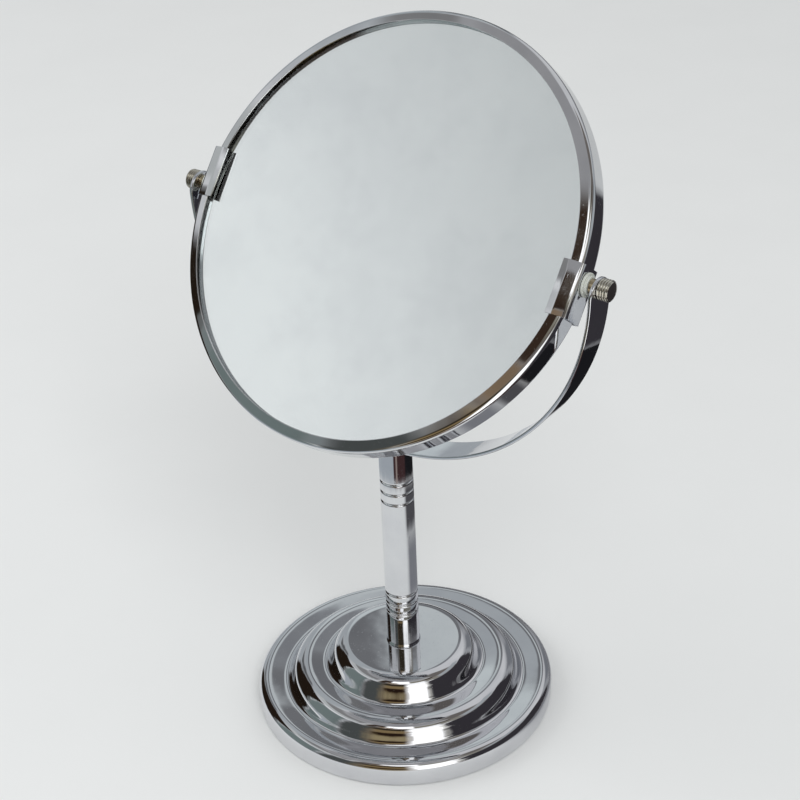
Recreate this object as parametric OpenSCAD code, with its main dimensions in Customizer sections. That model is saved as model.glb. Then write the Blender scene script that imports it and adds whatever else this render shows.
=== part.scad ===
// Double-sided pedestal shaving mirror. A round head, a channel hoop round two
// mirrors set back to back, tilts between the arms of a strap yoke, which stands
// on a tube stem and a stepped, weighted base.
// Millimetres, +Z up. X is the tilt axis, the magnifying side faces -Y, and the
// origin is on the table, under the middle of the stem.

/* [Base] */
// Diameter over the outer rim
base_d = 131; // [120:1:160]
// Height of the top step, where the stem stands
base_h = 27.5; // [25:0.5:36]
// Diameter of the top step at the corner that its brow rounds
top_step_d = 57.4; // [48:0.1:60]
// Diameter of the middle step at the corner that its brow rounds
middle_step_d = 93.4; // [86:0.1:97]
// Height of the middle step at its brow
middle_step_h = 18.8; // [17:0.1:21]
// Height of the outer step at its brow
outer_step_h = 11.2; // [10:0.1:13]
// Slope of the lower steps, up and out to their brows
step_rise = 9.5; // [0:0.5:12]
// Slope at which a step's brow meets its cheek
brow_slope = 60; // [50:1:64]
// Radius of the brows of the upper steps, where they turn down
brow_r = 7.4; // [4:0.1:8]
// Radius of the brow of the outer step
outer_brow_r = 4.2; // [3:0.1:6]
// Radius of the cheeks below the brows of the upper steps
cheek_r = 12; // [6:0.5:14]
// Radius of the cheek of the outer step
outer_cheek_r = 3.2; // [2:0.1:4]
// Slope of the cheeks where they meet the next step
cheek_slope = 67; // [65:1:85]
// Radius of the hollows at the foot of the steps
hollow_r = 2; // [1.2:0.1:2.4]
// Thickness of the pressed sheet
base_sheet = 1; // [0.8:0.1:1.5]
// Height of the sheet's edge above the table
edge_lift = 0.4; // [0.2:0.1:0.8]
// Thickness of the foam pad
pad_t = 2; // [1.5:0.1:3]
// Space between the weight and the sheet
weight_gap = 0.8; // [0.5:0.1:1.5]
// Diameter of the base bolt
base_bolt_d = 6; // [5:0.5:8]
// How far the base bolt reaches into the stem
base_bolt_reach = 14; // [10:1:20]

/* [Stem] */
// Length of the stem between the base and the yoke
stem_l = 101.5; // [80:0.5:160]
// Outer diameter of the stem tube
stem_d = 14.3; // [12:0.1:20]
// Wall of the stem tube
stem_wall = 1.2; // [0.8:0.1:1.8]
// Number of rolled grooves near each end
groove_count = 3; // [1:1:4]
// Distance from an end to its first groove
groove_start = 17.2; // [10:0.1:22]
// Distance from groove to groove
groove_pitch = 4.9; // [3:0.1:6]
// Radius of a groove's round section
groove_r = 0.55; // [0.3:0.05:0.7]
// How far the rolled bead at the foot stands out
foot_bead = 0.35; // [0.2:0.05:0.6]
// Length of the threaded plugs inside the tube
plug_l = 18; // [12:1:24]

/* [Yoke] */
// Width of the strap
strap_w = 14; // [12:0.5:20]
// Thickness of the strap
strap_t = 1.5; // [1:0.1:2.5]
// Radius on the strap's edges
strap_edge_r = 0.5; // [0.2:0.05:0.5]
// Space between the rim and the strap
yoke_gap = 5.5; // [5:0.1:10]
// How far the strap's round tips rise above the tilt axis
tip_rise = 4.2; // [3.6:0.1:8]
// Diameter of the screw that holds the strap on the stem
yoke_screw_d = 5; // [4:0.5:6]
// Diameter of that screw's head
yoke_screw_head_d = 8.6; // [7.5:0.1:9.5]
// Height of that screw's head
yoke_screw_head_h = 2.2; // [1.5:0.1:2.5]
// Outer diameter of the washer under it
yoke_washer_d = 10.5; // [9.6:0.1:12]
// Thickness of that washer
yoke_washer_t = 0.8; // [0.5:0.1:1]

/* [Head] */
// Diameter over the rim
rim_d = 178; // [140:1:220]
// Thickness of the rim's sheet
rim_sheet = 0.6; // [0.5:0.05:0.9]
// Width of the lips in front of the mirrors
lip_w = 4.8; // [4:0.1:7]
// Slope of the lips, back and out from their inner edges
lip_slope = 15; // [0:1:20]
// Outer radius of the rim's bends
rim_bend_r = 2.4; // [1:0.1:2.6]
// Gap where the ends of the rim meet, under the right clip
rim_seam = 0.4; // [0.2:0.1:1]
// Thickness of the mirror glass
glass_t = 2; // [1.5:0.1:3]
// Radius of curvature of the magnifying mirror
magnifier_r = 710; // [500:10:1500]
// Space between the backs of the two mirrors at their middle
middle_gap = 1.5; // [0.3:0.05:2]
// Width of the card ring that keeps the mirrors apart
core_w = 26; // [15:1:40]
// Backward tilt of the head at rest
tilt = 39; // [0:0.5:80]

/* [Pivots] */
// Length of the clips along the rim
clip_l = 21; // [16:0.5:30]
// How far the pivot hole stands off the middle of a clip
clip_offset = 4.2; // [0:0.1:5]
// Depth of the clips' flanges over the lips
clip_depth = 7.4; // [5:0.1:9]
// Thickness of the clips' sheet
clip_sheet = 0.8; // [0.6:0.1:1]
// Outer radius of the clips' bends
clip_bend_r = 2.2; // [1:0.1:2.6]
// Radius of the easing between a flange's flat and its slope
clip_ease_r = 5; // [1:0.5:6]
// Diameter of the pivot screws
pivot_d = 4; // [3:0.1:5]
// Diameter of the pivot screws' heads, inside the rim
pivot_head_d = 7; // [6:0.1:8]
// Thickness of the pivot screws' heads
pivot_head_t = 1.1; // [0.8:0.1:1.5]
// Outer diameter of the nylon bushes
bush_d = 9.4; // [8:0.1:11]
// Thickness of the bushes' flange
bush_flange_t = 1; // [0.6:0.1:1.4]
// Diameter of the bushes' collar
bush_collar_d = 7; // [6.6:0.1:7.5]
// Length of the bushes' collar
bush_collar_l = 0.9; // [0.5:0.1:1.2]
// Outer diameter of the brass spacers
spacer_d = 5.8; // [5.6:0.1:6.5]
// Diameter of the knobs over their ribs
knob_d = 8.4; // [7.5:0.1:12]
// Length of the knobs
knob_l = 5; // [4.5:0.1:9]
// Number of ribs round each knob
knob_ribs = 4; // [2:1:5]
// Depth of the turned grooves between the ribs
knob_groove = 0.45; // [0.2:0.05:0.6]
// Crown of the knobs' round end
knob_crown = 0.8; // [0.4:0.1:1.2]
// How far the pivot screws reach into the knobs
pivot_reach = 3.2; // [2.5:0.1:3.6]

/* [Fits] */
// Radial clearance of screws in the pieces that they turn or screw into
running_fit = 0.05; // [0.02:0.01:0.09]
// Radial clearance of plain holes round screws
hole_clearance = 0.3; // [0.2:0.05:0.4]
// Space between pieces that slide past each other or are laid in place
laid_gap = 0.1; // [0.05:0.01:0.2]

/* [Hidden] */

$fn = 96;
turn_fn = 180;      // sides of the large turned pieces
corner_steps = 6;   // chords in each rounded corner of a section
dish_steps = 14;    // chords in the section of a dished surface
past = 1;           // how far a cutting solid runs past what it cuts

chrome = "silver";
dark_iron = "dimgray";
foam_black = [0.12, 0.12, 0.13];
zinc = [0.72, 0.73, 0.75];
brass = [0.78, 0.66, 0.36];
nylon = [0.93, 0.94, 0.92];
silvered = [0.82, 0.85, 0.87];
card = [0.72, 0.62, 0.48];

rim_r = rim_d / 2;
rim_wall_r = rim_r - rim_sheet;
mirror_r = rim_wall_r - pivot_head_t - 3 * laid_gap;
dish = magnifier_r - sqrt(pow(magnifier_r, 2) - pow(mirror_r, 2));
glass_face = glass_t + (dish + middle_gap) / 2;
lip_drop = lip_w * tan(lip_slope);
rim_half = glass_face + rim_sheet / cos(lip_slope) + (lip_w - rim_r + mirror_r) * tan(lip_slope);

strap_inner_r = rim_r + yoke_gap;
strap_outer_r = strap_inner_r + strap_t;
stem_top = base_h + stem_l;
pivot_z = stem_top + strap_outer_r;
tip_centre = tip_rise - strap_w / 2;

clip_in = rim_r + laid_gap;
clip_out = clip_in + clip_sheet;
clip_half = rim_half + (laid_gap + clip_sheet) / cos(lip_slope);
spacer_from = clip_out + bush_flange_t + bush_collar_l + 2 * laid_gap;
knob_from = strap_outer_r + laid_gap;
plug_r = stem_d / 2 - stem_wall - running_fit;
washer_seat = pivot_z - sqrt(pow(strap_inner_r, 2) - pow(yoke_washer_d / 2, 2));
bolt_head_h = 0.6 * base_bolt_d;
bolt_head_d = 1.7 * base_bolt_d;
bolt_washer_d = 2.6 * base_bolt_d;
bolt_washer_t = 0.2 * base_bolt_d;
bolt_pocket_h = bolt_head_h + bolt_washer_t + 4 * laid_gap;

function unit(v) = v / norm(v);
function left_of(v) = [-v.y, v.x];
function turn(u, v) = u.x * v.y - u.y * v.x;

// The points of an arc of radius r that rounds the corner b between a and c
function corner(a, b, c, r) =
    let (u = unit(a - b), v = unit(c - b), half = acos(u * v) / 2,
         centre = b + unit(u + v) * r / sin(half),
         from = b + u * r / tan(half) - centre, to = b + v * r / tan(half) - centre,
         start = atan2(from.y, from.x), sweep = atan2(turn(from, to), from * to))
    [for (i = [0:corner_steps])
        centre + r * [cos(start + sweep * i / corner_steps), sin(start + sweep * i / corner_steps)]];

// An open path with its corners rounded, each by its own radius
function rounded(path, radii) =
    [for (i = [0:len(path) - 1])
        each (radii[i] > 0 ? corner(path[i - 1], path[i], path[i + 1], radii[i]) : [path[i]])];

// The same path moved to its left by t, with mitred corners
function beside(path, t) =
    [for (i = [0:len(path) - 1])
        let (u = i > 0 ? unit(path[i] - path[i - 1]) : unit(path[i + 1] - path[i]),
             v = i < len(path) - 1 ? unit(path[i + 1] - path[i]) : u,
             across = left_of(u) + left_of(v))
        path[i] + across * 2 * t / (across * across)];

// The radii that keep the moved path parallel to the first
function beside_radii(path, radii, t) =
    [for (i = [0:len(path) - 1])
        radii[i] > 0
            ? radii[i] - t * sign(turn(path[i] - path[i - 1], path[i + 1] - path[i]))
            : 0];

function reversed(list) = [for (i = [len(list) - 1:-1:0]) list[i]];

// The section of a bent sheet: its face follows the path, its body lies to the left
function sheet_section(path, radii, t) =
    concat(rounded(path, radii),
        reversed(rounded(beside(path, t), beside_radii(path, radii, t))));

// Height of the dished mirror's front over its rear end of travel, at radius r
function dished(r) = magnifier_r - sqrt(pow(magnifier_r, 2) - pow(r, 2)) - dish;

// ---- base ----

// Length from a brow's corner to its cheek's, for a step that rises by that slope to a
// brow of that radius, above a cheek that bends to its own slope by its own radius
function brow_run(rise, brow_radius, to_slope, cheek_radius) =
    brow_radius * tan((brow_slope + rise) / 2) + cheek_radius * tan((to_slope - brow_slope) / 2);
function down_from(brow, run) = brow + run * [cos(brow_slope), -sin(brow_slope)];

// The foot of a cheek, where it meets the step that rises to the next brow
function foot_of(cheek, brow) =
    let (steep = tan(cheek_slope), rise = tan(step_rise),
         x = (cheek.y - brow.y + cheek.x * steep + brow.x * rise) / (steep + rise))
    [x, brow.y - (brow.x - x) * rise];

outer_run = brow_run(step_rise, outer_brow_r, 90, outer_cheek_r);
outer_brow = [base_d / 2 - outer_run * cos(brow_slope), outer_step_h];
middle_brow = [middle_step_d / 2, middle_step_h];
top_brow = [top_step_d / 2, base_h];
middle_cheek = down_from(middle_brow, brow_run(step_rise, brow_r, cheek_slope, cheek_r));
top_cheek = down_from(top_brow, brow_run(0, brow_r, cheek_slope, cheek_r));
middle_foot = foot_of(middle_cheek, outer_brow);
top_foot = foot_of(top_cheek, middle_brow);
base_face = [[base_d / 2, edge_lift], down_from(outer_brow, outer_run), outer_brow,
    middle_foot, middle_cheek, middle_brow, top_foot, top_cheek, top_brow,
    [base_bolt_d / 2 + hole_clearance, base_h]];
base_radii = [0, outer_cheek_r, outer_brow_r, hollow_r, cheek_r, brow_r, hollow_r, cheek_r, brow_r, 0];

// Pressed sheet in three steps, open underneath
module base_shell() {
    color(chrome)
        rotate_extrude($fn = turn_fn) polygon(sheet_section(base_face, base_radii, base_sheet));
}

// Cast weight that fills the steps and carries the clamping load to the top one
module base_weight() {
    space = base_sheet + weight_gap;
    bore_r = base_bolt_d / 2 + hole_clearance;
    pocket_r = bolt_washer_d / 2 + 2 * hole_clearance;
    floor_z = pad_t + laid_gap;
    brow_reach = brow_r * tan((brow_slope + step_rise) / 2);
    top_r = top_brow.x - brow_reach - space;
    middle_r = middle_brow.x - brow_reach - space;
    outer_r = outer_brow.x - space;
    color(dark_iron) rotate_extrude($fn = turn_fn) polygon([
        [pocket_r, floor_z],
        [outer_r, floor_z],
        [outer_r, middle_foot.y - space],
        [middle_r, middle_foot.y - space],
        [middle_r, top_foot.y - space],
        [top_r, top_foot.y - space],
        [top_r, base_h - base_sheet],
        [bore_r, base_h - base_sheet],
        [bore_r, floor_z + bolt_pocket_h],
        [pocket_r, floor_z + bolt_pocket_h]]);
}

// Foam disc under the base, just proud of the sheet's edge
module base_pad() {
    color(foam_black)
        cylinder(r = base_d / 2 - base_sheet - 2 * laid_gap, h = pad_t, $fn = turn_fn);
}

// Bolt up through the weight into the stem, head down in its pocket
module base_bolt() {
    seat_z = pad_t + laid_gap + bolt_pocket_h - bolt_washer_t;
    color(zinc) {
        translate([0, 0, seat_z - bolt_head_h]) cylinder(d = bolt_head_d, h = bolt_head_h, $fn = 6);
        translate([0, 0, seat_z - past]) cylinder(d = base_bolt_d, h = base_h + base_bolt_reach - seat_z + past);
    }
}

module base_washer() {
    color(zinc) translate([0, 0, pad_t + laid_gap + bolt_pocket_h - bolt_washer_t])
        ring(bolt_washer_d / 2, base_bolt_d / 2 + hole_clearance, bolt_washer_t);
}

module ring(outer_r, inner_r, h) {
    difference() {
        cylinder(r = outer_r, h = h);
        translate([0, 0, -past]) cylinder(r = inner_r, h = h + 2 * past);
    }
}

// ---- stem ----

// Plain tube with a rolled bead at its foot and rolled grooves near both ends
module stem_tube() {
    bore_r = stem_d / 2 - stem_wall;
    color(chrome) translate([0, 0, base_h]) difference() {
        union() {
            cylinder(d = stem_d, h = stem_l);
            intersection() {
                translate([0, 0, foot_bead])
                    rotate_extrude() translate([stem_d / 2 - foot_bead, 0]) circle(r = 2 * foot_bead, $fn = 32);
                cylinder(d = 2 * stem_d, h = stem_l);
            }
        }
        translate([0, 0, -past]) cylinder(r = bore_r, h = stem_l + 2 * past);
        for (i = [0:groove_count - 1], from_foot = [true, false]) {
            along = groove_start + i * groove_pitch;
            translate([0, 0, from_foot ? along : stem_l - along])
                rotate_extrude() translate([stem_d / 2, 0]) circle(r = groove_r, $fn = 24);
        }
    }
}

module stem_foot_plug() {
    color(zinc) translate([0, 0, base_h]) ring(plug_r, base_bolt_d / 2 + running_fit, plug_l);
}

module stem_top_plug() {
    color(zinc) translate([0, 0, stem_top - plug_l]) ring(plug_r, yoke_screw_d / 2 + running_fit, plug_l);
}

// ---- yoke ----

// Half hoop of flat strap with round tips, drilled for the pivots and the stem screw
module yoke_strap() {
    edge = strap_edge_r;
    half = strap_w / 2;
    section = rounded(
        [[strap_inner_r, 0], [strap_inner_r, -half], [strap_outer_r, -half],
         [strap_outer_r, half], [strap_inner_r, half], [strap_inner_r, 0]],
        [0, edge, edge, edge, edge, 0]);
    color(chrome) translate([0, 0, pivot_z]) difference() {
        intersection() {
            union() {
                rotate([90, 0, 0]) rotate([0, 0, 180])
                    rotate_extrude(angle = 180, $fn = turn_fn) polygon(section);
                for (side = [0, 180])
                    rotate([0, 0, side]) linear_extrude(tip_rise + past) polygon(section);
            }
            rotate([90, 0, 90]) linear_extrude(2 * strap_outer_r + 2 * past, center = true) {
                translate([0, tip_centre]) circle(r = half, $fn = turn_fn);
                translate([-half, -strap_outer_r - past])
                    square([strap_w, strap_outer_r + past + tip_centre]);
            }
        }
        rotate([0, 90, 0])
            cylinder(d = pivot_d + 4 * running_fit, h = 2 * strap_outer_r + 2 * past, center = true);
        translate([0, 0, -strap_outer_r - past])
            cylinder(r = yoke_screw_d / 2 + hole_clearance, h = strap_t + 2 * past);
    }
}

module yoke_washer() {
    color(chrome) translate([0, 0, washer_seat])
        ring(yoke_washer_d / 2, yoke_screw_d / 2 + hole_clearance, yoke_washer_t);
}

// Pan-head screw down through the strap into the stem's top plug
module yoke_screw() {
    head_r = yoke_screw_head_d / 2;
    head_base = washer_seat + yoke_washer_t;
    crown = rounded([[0, 0], [head_r, 0], [head_r, yoke_screw_head_h], [0, yoke_screw_head_h]],
        [0, 0, yoke_screw_head_h / 2, 0]);
    color(chrome) {
        translate([0, 0, head_base]) rotate_extrude() polygon(crown);
        translate([0, 0, stem_top - plug_l + 2 * past])
            cylinder(d = yoke_screw_d, h = head_base - stem_top + plug_l - past);
    }
}

// ---- head, drawn with its magnifying side up, then tilted into the yoke ----

module head_place() {
    translate([0, 0, pivot_z]) rotate([90 - tilt, 0, 0]) children();
}

// Turns a shape drawn up the +Z axis to lie outwards along the tilt axis
module pivot_place(side) {
    head_place() rotate([0, side * 90, 0]) children();
}

// Hoop rolled from a channel: one wall and a lip in front of each mirror
module rim_band() {
    path = [[rim_r - lip_w, -rim_half], [rim_r, lip_drop - rim_half],
            [rim_r, rim_half - lip_drop], [rim_r - lip_w, rim_half]];
    color(chrome) head_place() difference() {
        rotate_extrude($fn = turn_fn)
            polygon(sheet_section(path, [0, rim_bend_r, rim_bend_r, 0], rim_sheet));
        rotate([0, 90, 0])
            cylinder(r = pivot_d / 2 + hole_clearance, h = 2 * rim_r + 2 * past, center = true);
        translate([rim_r - lip_w - past, -rim_seam / 2, -rim_half - past])
            cube([lip_w + 2 * past, rim_seam, 2 * rim_half + 2 * past]);
    }
}

// Dished glass, silvered, hollow side out
module magnifying_mirror() {
    front = [for (i = [0:dish_steps])
        let (r = mirror_r * i / dish_steps) [r, glass_face - laid_gap / 2 + dished(r)]];
    back = [for (p = reversed(front)) p - [0, glass_t]];
    color(silvered) head_place() rotate_extrude($fn = turn_fn) polygon(concat(front, back));
}

// Flat glass, silvered, on the other side
module plain_mirror() {
    color(silvered) head_place() translate([0, 0, -glass_face])
        cylinder(r = mirror_r, h = glass_t, $fn = turn_fn);
}

// Card ring between the two mirrors, cut to the dished one's back
module core_ring() {
    outer_r = mirror_r - laid_gap;
    floor_z = -glass_face + glass_t + laid_gap;
    top = [for (i = [0:dish_steps])
        let (r = outer_r - core_w * i / dish_steps) [r, glass_face + dished(r) - glass_t - laid_gap]];
    color(card) head_place() rotate_extrude($fn = turn_fn)
        polygon(concat([[outer_r - core_w, floor_z], [outer_r, floor_z]], top));
}

// Folded clip that grips the rim and carries a pivot screw. Its flanges follow the
// lips, then run level over the glass. Both are one pattern, its hole off the middle
module clip(side) {
    level_x = rim_r - lip_w;
    corner = clip_half - (clip_out - level_x) * tan(lip_slope);
    path = [[rim_r - clip_depth, -clip_half], [level_x, -clip_half], [clip_out, -corner],
            [clip_out, corner], [level_x, clip_half], [rim_r - clip_depth, clip_half]];
    radii = [0, clip_ease_r, clip_bend_r, clip_bend_r, clip_ease_r, 0];
    color(chrome) head_place() rotate([0, 0, side > 0 ? 0 : 180]) difference() {
        translate([0, -clip_offset, 0]) rotate([90, 0, 0]) linear_extrude(clip_l, center = true)
            polygon(sheet_section(path, radii, clip_sheet));
        rotate([0, 90, 0]) cylinder(r = pivot_d / 2 + hole_clearance, h = clip_out + past);
    }
}

// Flat-headed screw, from inside the rim out to the knob
module pivot_screw(side) {
    head_from = rim_wall_r - laid_gap - pivot_head_t;
    color(brass) pivot_place(side) {
        translate([0, 0, head_from]) cylinder(d = pivot_head_d, h = pivot_head_t);
        translate([0, 0, head_from + pivot_head_t / 2])
            cylinder(d = pivot_d, h = knob_from + pivot_reach - head_from - pivot_head_t / 2);
    }
}

// Flanged nylon bush between the clip and the spacer
module bush(side) {
    bore_r = pivot_d / 2 + running_fit;
    color(nylon) pivot_place(side) translate([0, 0, clip_out + laid_gap]) {
        ring(bush_d / 2, bore_r, bush_flange_t);
        ring(bush_collar_d / 2, bore_r, bush_flange_t + bush_collar_l);
    }
}

// Brass sleeve that the knob draws the strap against
module spacer(side) {
    color(brass) pivot_place(side) translate([0, 0, spacer_from])
        ring(spacer_d / 2, pivot_d / 2 + running_fit, strap_inner_r - laid_gap - spacer_from);
}

// Turned knob with rounded ribs and a crowned end, screwed on from outside
module knob(side) {
    land = knob_l - knob_crown;
    rib = land / knob_ribs;
    groove_floor = knob_d / 2 - knob_groove;
    ribbed = [for (i = [0:knob_ribs - 1], a = [0:30:150])
        [groove_floor + knob_groove * sin(a), rib * (i + (1 - cos(a)) / 2)]];
    crown = [for (a = [0:15:90]) [groove_floor * cos(a), land + knob_crown * sin(a)]];
    color(chrome) pivot_place(side) translate([0, 0, knob_from]) difference() {
        rotate_extrude() polygon(concat([[0, 0]], ribbed, crown));
        translate([0, 0, -past])
            cylinder(r = pivot_d / 2 + running_fit, h = pivot_reach + 3 * laid_gap + past);
    }
}

module left_clip() { clip(-1); }
module left_pivot_screw() { pivot_screw(-1); }
module left_bush() { bush(-1); }
module left_spacer() { spacer(-1); }
module left_knob() { knob(-1); }
module right_clip() { clip(1); }
module right_pivot_screw() { pivot_screw(1); }
module right_bush() { bush(1); }
module right_spacer() { spacer(1); }
module right_knob() { knob(1); }

base_shell();
base_weight();
base_pad();
base_bolt();
base_washer();
stem_tube();
stem_foot_plug();
stem_top_plug();
yoke_strap();
yoke_washer();
yoke_screw();
rim_band();
magnifying_mirror();
plain_mirror();
core_ring();
left_clip();
left_pivot_screw();
left_bush();
left_spacer();
left_knob();
right_clip();
right_pivot_screw();
right_bush();
right_spacer();
right_knob();
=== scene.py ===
"""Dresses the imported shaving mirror: chromed pressings, turned pieces and two silvered glasses.

Lengths are written in millimetres, as in the part's source, and made metres in the meshes.
"""
import math

import bmesh
import bpy
import numpy as np
from mathutils import Matrix, Vector


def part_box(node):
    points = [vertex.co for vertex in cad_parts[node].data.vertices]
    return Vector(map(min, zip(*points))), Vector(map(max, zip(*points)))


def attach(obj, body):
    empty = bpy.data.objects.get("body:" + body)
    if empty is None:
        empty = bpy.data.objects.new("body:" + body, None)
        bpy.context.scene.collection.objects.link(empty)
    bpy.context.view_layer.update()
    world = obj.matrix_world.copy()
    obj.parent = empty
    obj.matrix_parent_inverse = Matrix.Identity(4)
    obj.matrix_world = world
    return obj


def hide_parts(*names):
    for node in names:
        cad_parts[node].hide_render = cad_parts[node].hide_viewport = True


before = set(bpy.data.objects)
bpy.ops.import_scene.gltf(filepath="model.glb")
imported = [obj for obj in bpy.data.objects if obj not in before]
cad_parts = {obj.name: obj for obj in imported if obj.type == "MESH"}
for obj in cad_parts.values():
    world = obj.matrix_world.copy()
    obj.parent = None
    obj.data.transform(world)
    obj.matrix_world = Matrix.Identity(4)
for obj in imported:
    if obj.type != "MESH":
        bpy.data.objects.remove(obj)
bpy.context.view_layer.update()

MM = 0.001


def span(node, axis):
    """Lowest and highest millimetre of a CAD node along one axis."""
    low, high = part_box(node)
    return low[axis] / MM, high[axis] / MM


# ---- sizes: the frame gives the outer ones, the source's own values the rest ----

laid_gap = 0.1
running_fit = 0.05
hole_clearance = 0.3

base_r = span("base_shell", 0)[1]
edge_lift, base_h = span("base_shell", 2)
top_step_r = 57.4 / 2
middle_step_r = 93.4 / 2
middle_step_h = 18.8
outer_step_h = 11.2
step_rise = math.radians(9.5)
brow_slope = math.radians(60)
cheek_slope = math.radians(67)
brow_r = 7.4
outer_brow_r = 4.2
cheek_r = 12.0
outer_cheek_r = 3.2
hollow_r = 2.0
base_sheet = 1.0
bolt_hole_r = 3 + hole_clearance

stem_foot, stem_top = span("stem_tube", 2)
stem_r = 14.3 / 2
stem_wall = 1.2
groove_count = 3
groove_start = 17.2
groove_pitch = 4.9
groove_depth = 0.55
foot_bead = 0.35

strap_outer_r = span("yoke_strap", 0)[1]
strap_t = 1.5
strap_inner_r = strap_outer_r - strap_t
strap_half = span("yoke_strap", 1)[1]
strap_edge_r = 0.5
tip_rise = 4.2
pivot_z = stem_top + strap_outer_r
washer_seat = span("yoke_washer", 2)[0]
washer_r = span("yoke_washer", 0)[1]
washer_t = 0.8
yoke_screw_r = 2.5
yoke_screw_reach = 16
yoke_head_r = 8.6 / 2
yoke_head_h = 2.2

tilt = math.radians(39)
rim_r = span("rim_band", 0)[1]
rim_sheet = 0.6
lip_w = 4.8
lip_slope = math.radians(15)
rim_bend_r = 2.4
rim_seam = 0.4
glass_t = 2.0
magnifier_r = 710.0
mirror_r = span("plain_mirror", 0)[1]
dish = magnifier_r - math.sqrt(magnifier_r ** 2 - mirror_r ** 2)
middle_gap = 1.5
glass_face = glass_t + (dish + middle_gap) / 2
film_t = 0.05
film_gap = 0.01
film_inset = 0.3
lip_drop = lip_w * math.tan(lip_slope)
rim_half = (glass_face + rim_sheet / math.cos(lip_slope)
            + (lip_w - rim_r + mirror_r) * math.tan(lip_slope))

clip_out = span("right_clip", 0)[1]
clip_sheet = 0.8
clip_l = 21.0
clip_offset = 4.2
clip_depth = 7.4
clip_bend_r = 2.2
clip_ease_r = 5.0
clip_half = rim_half + (laid_gap + clip_sheet) / math.cos(lip_slope)
pivot_r = 2.0
pivot_head_r = 3.5
pivot_head_t = 1.1
pivot_reach = 3.2
head_from = rim_r - rim_sheet - laid_gap - pivot_head_t
bush_from = clip_out + laid_gap
bush_r = 9.4 / 2
bush_flange_t = 1.0
bush_collar_r = 3.5
bush_collar_l = 0.9
spacer_from = clip_out + bush_flange_t + bush_collar_l + 2 * laid_gap
spacer_to = strap_inner_r - laid_gap
spacer_r = 2.9
knob_from = strap_outer_r + laid_gap
knob_r = 4.2
knob_l = 5.0
knob_ribs = 4
knob_groove = 0.45
knob_crown = 0.8

yoke_place = Matrix.Translation((0, 0, pivot_z * MM))
head_place = yoke_place @ Matrix.Rotation(math.pi / 2 - tilt, 4, "X")
sides = {"left": -1, "right": 1}


def pivot_place(side):
    """Turns what is drawn up the Z axis to lie outwards along the tilt axis."""
    return head_place @ Matrix.Rotation(side * math.pi / 2, 4, "Y")


# ---- node trees ----


class Wiring:
    """Short calls that add and join the nodes of one tree."""

    def __init__(self, tree):
        self.tree = tree

    def add(self, kind, values=None, **settings):
        node = self.tree.nodes.new(kind)
        for key, value in settings.items():
            setattr(node, key, value)
        self.give(node, values or {})
        return node

    def give(self, node, values):
        """Sets a node's sockets: a plain value on the socket itself, another socket by a link."""
        for key, value in values.items():
            self.feed(node.inputs[key], value)

    def feed(self, socket, value):
        if isinstance(value, bpy.types.NodeSocket):
            self.tree.links.new(value, socket)
        else:
            socket.default_value = value

    def maths(self, operation, *values):
        node = self.add("ShaderNodeMath", operation=operation)
        for socket, value in zip(node.inputs, values):
            self.feed(socket, value)
        return node.outputs[0]

    def plus(self, first, second):
        return self.maths("ADD", first, second)

    def minus(self, first, second):
        return self.maths("SUBTRACT", first, second)

    def times(self, first, second):
        return self.maths("MULTIPLY", first, second)

    def between(self, share, low, high):
        """The number that lies this share of the way from low to high."""
        return self.plus(low, self.times(share, self.minus(high, low)))

    def bell(self, off):
        """1 at the middle, falling away smoothly on both sides."""
        return self.maths("EXPONENT", self.times(self.maths("POWER", off, 2.0), -1.0))

    def point(self, **values):
        return self.add("ShaderNodeCombineXYZ", values).outputs[0]

    def ease(self, value, low, high):
        """0 below low, 1 above high, smooth between."""
        return self.add("ShaderNodeMapRange", {"Value": value, "From Min": low, "From Max": high},
                        interpolation_type="SMOOTHSTEP").outputs["Result"]

    def spread(self, value, low, high):
        """A number from low to high, as value goes from 0 to 1."""
        return self.add("ShaderNodeMapRange", {"Value": value, "To Min": low,
                                               "To Max": high}).outputs["Result"]

    def noise(self, where, scale, detail=4.0, roughness=0.5):
        return self.add("ShaderNodeTexNoise", {"Vector": where, "Scale": scale, "Detail": detail,
                                               "Roughness": roughness}).outputs["Fac"]

    def stretched(self, where, scale):
        """Coordinates scaled along each axis."""
        return self.add("ShaderNodeMapping", {"Vector": where, "Scale": scale}).outputs["Vector"]

    def relief(self, height, distance):
        return self.add("ShaderNodeBump", {"Height": height, "Distance": distance}).outputs["Normal"]

    def blend(self, share, first, second):
        """A colour between two, by share."""
        node = self.add("ShaderNodeMix", {"Factor": share}, data_type="RGBA")
        self.feed(node.inputs[6], first)
        self.feed(node.inputs[7], second)
        return node.outputs[2]


def new_finish(name):
    """A new material, its wiring, and the coordinates that its patterns lie on."""
    material = bpy.data.materials.new(name)
    material.use_nodes = True
    w = Wiring(material.node_tree)
    return material, w, w.add("ShaderNodeTexCoord").outputs["Object"]


def finished(material, w, values):
    w.give(material.node_tree.nodes["Principled BSDF"], values)
    return material


def plated(name, pale, deep, polish, waves, hairlines=(900, 900, 900)):
    """Bright plate: clouds in its colour, smears and hairlines in its polish, a slight waviness."""
    material, w, where = new_finish(name)
    clean, smeared, lined = polish
    wave_scale, wave_height = waves
    clouds = w.ease(w.noise(where, 38.0, 5.0, 0.55), 0.35, 0.7)
    smears = w.ease(w.noise(w.stretched(where, (60, 60, 22)), 1.0, 6.0, 0.62), 0.48, 0.74)
    hairs = w.ease(w.noise(w.stretched(where, hairlines), 1.0, 2.0, 0.7), 0.62, 0.8)
    specks = w.ease(w.noise(where, 1400.0, 0.0), 0.76, 0.8)
    worn = w.plus(w.times(smears, smeared), w.times(hairs, lined))
    worn = w.plus(worn, w.times(specks, 0.12))
    return finished(material, w, {
        "Base Color": w.blend(clouds, pale, deep),
        "Roughness": w.plus(worn, clean),
        "Normal": w.relief(w.noise(where, wave_scale, 1.0), wave_height),
        "Metallic": 1.0})


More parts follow.
